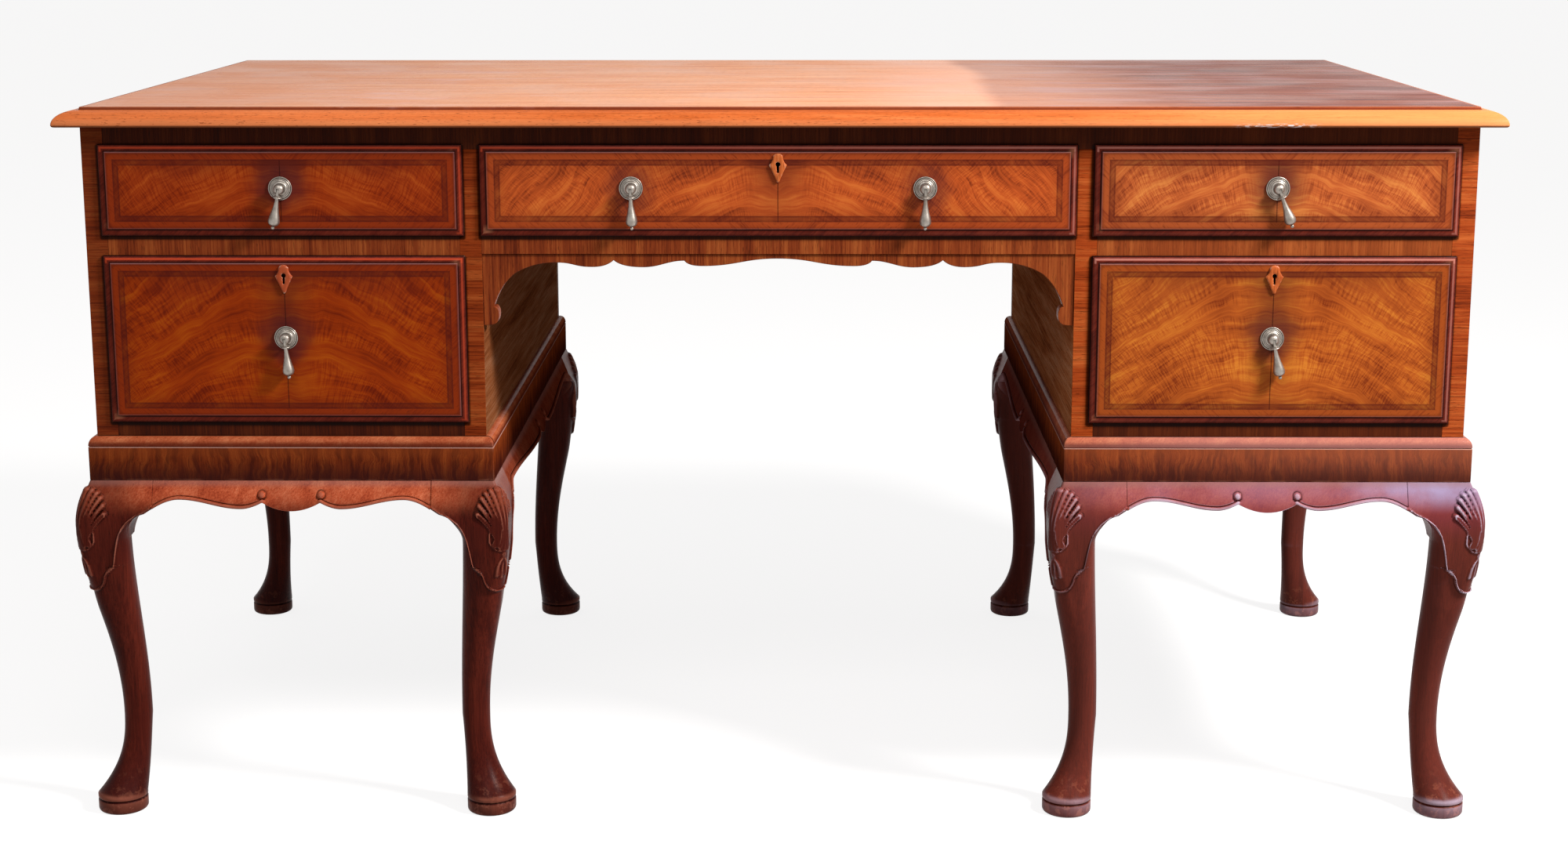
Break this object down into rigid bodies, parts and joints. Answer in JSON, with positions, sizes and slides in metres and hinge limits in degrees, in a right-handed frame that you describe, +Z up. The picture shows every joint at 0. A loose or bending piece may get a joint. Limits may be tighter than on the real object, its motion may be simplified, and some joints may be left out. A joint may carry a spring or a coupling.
{
  "type": "kneehole desk",
  "caption": "Kneehole desk with lipped drawers and drop pulls over an arched kneehole, on stands with shaped aprons and cabriole legs with pad feet.",
  "frame": {"origin": "on the floor, under the middle of the top board", "axes": "+X to the right for a person in front of the desk who looks at it, +Y towards its back, +Z up"},
  "size_m": [1.524, 0.82, 0.783],
  "materials": {
    "top": "gloss",
    "carcass": "gloss",
    "side": "satin",
    "drawer": "gloss",
    "lining": "matte",
    "stand": "gloss",
    "shield": "satin",
    "pull": "antique",
    "lock": "satin"
  },
  "bodies": {
    "carcass": {"top_board": "top", "top_rail": "carcass", "back_panel": "side", "kneehole_apron": "carcass", "centre_drawer_divider": "carcass", "left_outer_side": "side", "left_inner_side": "side", "left_drawer_divider": "carcass", "left_pedestal_bottom": "carcass", "left_base_frame": "carcass", "left_front_outer_leg": "stand", "left_front_inner_leg": "stand", "left_front_apron": "stand", "left_back_outer_leg": "stand", "left_back_inner_leg": "stand", "left_back_apron": "stand", "left_outer_apron": "stand", "left_inner_apron": "stand", "right_outer_side": "side", "right_inner_side": "side", "right_drawer_divider": "carcass", "right_pedestal_bottom": "carcass", "right_base_frame": "carcass", "right_front_outer_leg": "stand", "right_front_inner_leg": "stand", "right_front_apron": "stand", "right_back_outer_leg": "stand", "right_back_inner_leg": "stand", "right_back_apron": "stand", "right_outer_apron": "stand", "right_inner_apron": "stand"},
    "left_upper_drawer": {"left_upper_drawer_front": "drawer", "left_upper_drawer_box": "lining", "left_upper_pull_rosette": "pull"},
    "left_upper_drop": {"left_upper_pull_drop": "pull"},
    "left_lower_drawer": {"left_lower_drawer_front": "drawer", "left_lower_drawer_box": "lining", "left_lower_escutcheon": "shield", "left_lower_lock": "lock", "left_lower_pull_rosette": "pull"},
    "left_lower_drop": {"left_lower_pull_drop": "pull"},
    "centre_drawer": {"centre_drawer_front": "drawer", "centre_drawer_box": "lining", "centre_escutcheon": "shield", "centre_lock": "lock", "centre_left_pull_rosette": "pull", "centre_right_pull_rosette": "pull"},
    "centre_left_drop": {"centre_left_pull_drop": "pull"},
    "centre_right_drop": {"centre_right_pull_drop": "pull"},
    "right_upper_drawer": {"right_upper_drawer_front": "drawer", "right_upper_drawer_box": "lining", "right_upper_pull_rosette": "pull"},
    "right_upper_drop": {"right_upper_pull_drop": "pull"},
    "right_lower_drawer": {"right_lower_drawer_front": "drawer", "right_lower_drawer_box": "lining", "right_lower_escutcheon": "shield", "right_lower_lock": "lock", "right_lower_pull_rosette": "pull"},
    "right_lower_drop": {"right_lower_pull_drop": "pull"}
  },
  "joints": [
    {"name": "left_upper_drawer_slide", "type": "slide", "parent": "carcass", "child": "left_upper_drawer", "axis": [0, -1, 0], "range_m": [0, 0.43]},
    {"name": "left_upper_drop_hinge", "type": "hinge", "parent": "left_upper_drawer", "child": "left_upper_drop", "pos_m": [-0.52718, -0.4008, 0.69662], "axis": [-0.9833, 0, 0.1822], "range_deg": [-3, 75]},
    {"name": "left_lower_drawer_slide", "type": "slide", "parent": "carcass", "child": "left_lower_drawer", "axis": [0, -1, 0], "range_m": [0, 0.43]},
    {"name": "left_lower_drop_hinge", "type": "hinge", "parent": "left_lower_drawer", "child": "left_lower_drop", "pos_m": [-0.52692, -0.4008, 0.53583], "axis": [-0.9969, 0, -0.0785], "range_deg": [-3, 75]},
    {"name": "centre_drawer_slide", "type": "slide", "parent": "carcass", "child": "centre_drawer", "axis": [0, -1, 0], "range_m": [0, 0.43]},
    {"name": "centre_left_drop_hinge", "type": "hinge", "parent": "centre_drawer", "child": "centre_left_drop", "pos_m": [-0.15547, -0.4008, 0.6966], "axis": [-0.9997, 0, -0.0262], "range_deg": [-3, 75]},
    {"name": "centre_right_drop_hinge", "type": "hinge", "parent": "centre_drawer", "child": "centre_right_drop", "pos_m": [0.1555, -0.4008, 0.6966], "axis": [-1, 0, 0], "range_deg": [-3, 75]},
    {"name": "right_upper_drawer_slide", "type": "slide", "parent": "carcass", "child": "right_upper_drawer", "axis": [0, -1, 0], "range_m": [0, 0.43]},
    {"name": "right_upper_drop_hinge", "type": "hinge", "parent": "right_upper_drawer", "child": "right_upper_drop", "pos_m": [0.52736, -0.4008, 0.69667], "axis": [-0.9336, 0, -0.3584], "range_deg": [-3, 75]},
    {"name": "right_lower_drawer_slide", "type": "slide", "parent": "carcass", "child": "right_lower_drawer", "axis": [0, -1, 0], "range_m": [0, 0.43]},
    {"name": "right_lower_drop_hinge", "type": "hinge", "parent": "right_lower_drawer", "child": "right_lower_drop", "pos_m": [0.52721, -0.4008, 0.53585], "axis": [-0.9781, 0, -0.2079], "range_deg": [-3, 75]}
  ]
}
